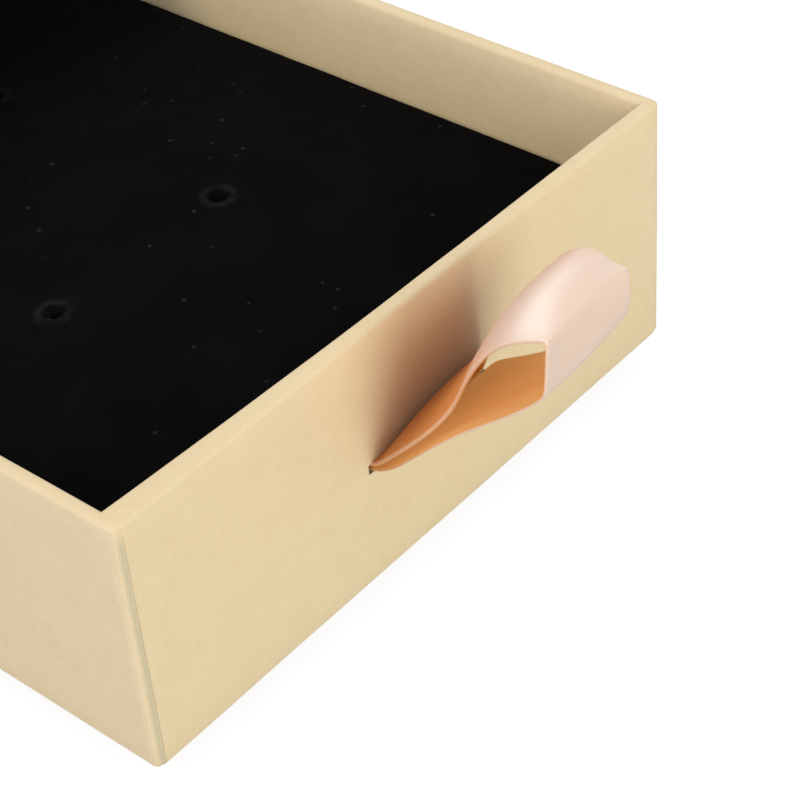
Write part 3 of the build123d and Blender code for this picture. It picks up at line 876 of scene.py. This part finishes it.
# How far the ribbon stands above its left selvage, which rolls down, in mm for each row.
ROLL = {4: 0.3, 5: 0.4, 6: 0.45, 7: 0.45, 8: 0.3, 13: 0.2, 14: 0.4, 15: 0.55, 16: 0.6, 17: 0.6,
        18: 0.6, 19: 0.6, 20: 0.55, 21: 0.35}
ROLL_WIDTH = 0.07                   # share of the ribbon's width
ACROSS = (0, 0.03, 0.07, 0.14, 0.3, 0.5, 0.7, 0.86, 1)


def ribbon_point(row, across):
    """A point on the ribbon: which row along it, and how far across it from 0 to 1."""
    shares = ((1 - across) * (1 - 2 * across), 4 * across * (1 - across),
              across * (2 * across - 1))
    ahead, above = (sum(share * side[row][i] for share, side in
                        zip(shares, (LEFT_SELVAGE, MIDDLE, RIGHT_SELVAGE))) for i in (0, 1))
    above += ROLL.get(row, 0) * (1 - max(0, 1 - across / ROLL_WIDTH) ** 2)
    return Vector((RIBBON_X + (across - 0.5) * RIBBON_WIDTH, FRONT_Y - ahead * MM,
                   UNDERSIDE_Z + above * MM))


def ribbon_loop():
    """One satin ribbon: two glued tails, and the loop with its squared tip."""
    bpy.ops.object.select_all(action="DESELECT")
    rows = len(MIDDLE) - 1
    columns = len(ACROSS) - 1
    bpy.ops.mesh.primitive_grid_add(x_subdivisions=columns, y_subdivisions=rows, size=2)
    piece = bpy.context.object
    piece.name = piece.data.name = "ribbon_loop"
    for vert in piece.data.vertices:        # the flat grid runs from -1 to 1 both ways
        row = round((vert.co.y + 1) / 2 * rows)
        vert.co = ribbon_point(row, ACROSS[round((vert.co.x + 1) / 2 * columns)])
    for row, sharpness in TIP_CREASES.items():
        line = [ribbon_point(row, across) for across in ACROSS]
        pick(piece, "EDGE", lambda edge: all(
            min((vert.co - point).length for point in line) < SAME_PLACE
            for vert in edge.verts))
        bpy.ops.transform.edge_crease(value=sharpness)
    leave_edit()
    piece.data.materials.append(SATIN_FACE)
    # The inner face takes the orange copy of the satin, painted shade between the strands.
    piece.data.materials.append(SATIN_SHADED_BACK)
    finish_modifier(piece, "SUBSURF", levels=2, render_levels=2)
    finish_modifier(piece, "SOLIDIFY", thickness=RIBBON_THICK, offset=0, material_offset=1,
                    material_offset_rim=0)
    finish_modifier(piece, "SUBSURF", levels=1, render_levels=1)
    smooth(piece, 60)
    return settle(piece, "drawer", "satin_ribbon", SATIN_FACE, "ribbon_pull")


# ---- camera ---------------------------------------------------------------------------------
CAMERA_AZIMUTH = math.radians(-47.196)
CAMERA_ELEVATION = math.radians(39.5872)
CAMERA_ROLL = math.radians(-4.9615)
CAMERA_PLACE = Vector((-125.2, -113.1, 156.4)) * MM
FIELD_OF_VIEW = math.radians(19.57)
FILM_WIDTH = 36


def add_camera():
    """The photo's viewpoint, measured from the middle of the drawer's front underside."""
    flat = math.cos(CAMERA_ELEVATION)
    back = Vector((math.sin(CAMERA_AZIMUTH) * flat, -math.cos(CAMERA_AZIMUTH) * flat,
                   math.sin(CAMERA_ELEVATION)))
    right = Vector((0, 0, 1)).cross(back).normalized()
    up = back.cross(right)
    turn, lean = math.cos(CAMERA_ROLL), math.sin(CAMERA_ROLL)
    across, above = turn * right + lean * up, turn * up - lean * right
    data = bpy.data.cameras.new("photo_camera")
    data.sensor_width = FILM_WIDTH
    data.lens = FILM_WIDTH / 2 / math.tan(FIELD_OF_VIEW / 2)
    data.clip_start = 10 * MM
    camera = bpy.data.objects.new("photo_camera", data)
    bpy.context.scene.collection.objects.link(camera)
    place = Matrix((across, above, back)).transposed().to_4x4()
    place.translation = CAMERA_PLACE + Vector((0, FRONT_Y, UNDERSIDE_Z))
    camera.matrix_world = place
    bpy.context.scene.camera = camera


# ---- floor and light ------------------------------------------------------------------------
FLOOR_SIZE = 4.0
FLOOR_COLOUR = (0.4, 0.4, 0.4, 1)
# To the camera the floor is nearly white by itself, and its diffuse share keeps the shadow.
FLOOR_SHADOW_SHARE = (0.2, 0.2, 0.2, 1)
FLOOR_WHITE = 0.87
AIM_HEIGHT = 20 * MM
DAYLIGHT = (0.99, 0.98, 1.03, 1)
DAYLIGHT_STRENGTH = 0.46
# Azimuth and elevation in degrees, distance and size in metres, power in watts and colour.
SOFTBOXES = {
    "front_softbox": (-9, 25, 0.9, 0.58, 5.5, (1.0, 0.97, 0.88)),
    "side_softbox": (-90, 3, 1.0, 0.25, 2.3, (0.95, 1.04, 1.4)),
    "back_softbox": (142, 25, 1.0, 0.5, 3.6, (1.0, 0.99, 0.98)),
    "warm_softbox": (-118, 36, 1.0, 0.4, 2.9, (1.0, 0.85, 0.64)),
}


def add_floor():
    """A pale floor that looks white to the camera and takes the box's shadow."""
    bpy.ops.object.select_all(action="DESELECT")
    bpy.ops.mesh.primitive_plane_add(size=FLOOR_SIZE, location=(0, 0, 0))
    floor = bpy.context.object
    floor.name = "pale_floor"
    material, tree, shader = new_material("pale_floor")
    shader.inputs["Base Color"].default_value = FLOOR_COLOUR
    shader.inputs["Roughness"].default_value = 0.8
    seen = add(tree, "ShaderNodeBsdfDiffuse", 0, -200, Color=FLOOR_SHADOW_SHARE)
    glow = add(tree, "ShaderNodeEmission", 0, -400, Strength=FLOOR_WHITE)
    both = add(tree, "ShaderNodeAddShader", 300, -100)
    tree.links.new(seen.outputs[0], both.inputs[0])
    tree.links.new(glow.outputs[0], both.inputs[1])
    path = add(tree, "ShaderNodeLightPath", -400, 300)
    mix_surfaces(tree, "Material Output", 500, 0, path.outputs["Is Camera Ray"], shader, both)
    floor.data.materials.append(material)


def add_softbox(name, azimuth, elevation, distance, size, power, colour):
    """A square softbox aimed at the drawer's front from an azimuth and an elevation."""
    aim = Vector((0, FRONT_Y, UNDERSIDE_Z + AIM_HEIGHT))
    turn, rise = math.radians(azimuth), math.radians(elevation)
    away = Vector((math.sin(turn) * math.cos(rise), -math.cos(turn) * math.cos(rise),
                   math.sin(rise)))
    data = bpy.data.lights.new(name, "AREA")
    data.shape = "SQUARE"
    data.size = size
    data.energy = power
    data.color = colour
    lamp = bpy.data.objects.new(name, data)
    bpy.context.scene.collection.objects.link(lamp)
    lamp.location = aim + away * distance
    lamp.rotation_euler = away.to_track_quat("Z", "Y").to_euler()


def add_world():
    """Even daylight on the box, and plain white behind it to the camera."""
    world = bpy.data.worlds.new("studio")
    bpy.context.scene.world = world
    world.use_nodes = True
    tree = world.node_tree
    light = tree.nodes["Background"]
    light.inputs["Color"].default_value = DAYLIGHT
    light.inputs["Strength"].default_value = DAYLIGHT_STRENGTH
    white = add(tree, "ShaderNodeBackground", 0, -200, Color=(1, 1, 1, 1), Strength=1.0)
    path = add(tree, "ShaderNodeLightPath", -400, 300)
    mix_surfaces(tree, "World Output", 300, 0, path.outputs["Is Camera Ray"], light, white)


# ---- build ----------------------------------------------------------------------------------
dress_cad_nodes()
add_camera()
add_floor()
add_world()
for softbox, settings in SOFTBOXES.items():
    add_softbox(softbox, *settings)
drawer_paper()
sleeve_paper()
velvet_cover()
foam_block()
ribbon_loop()
bpy.context.scene.view_settings.view_transform = "Standard"
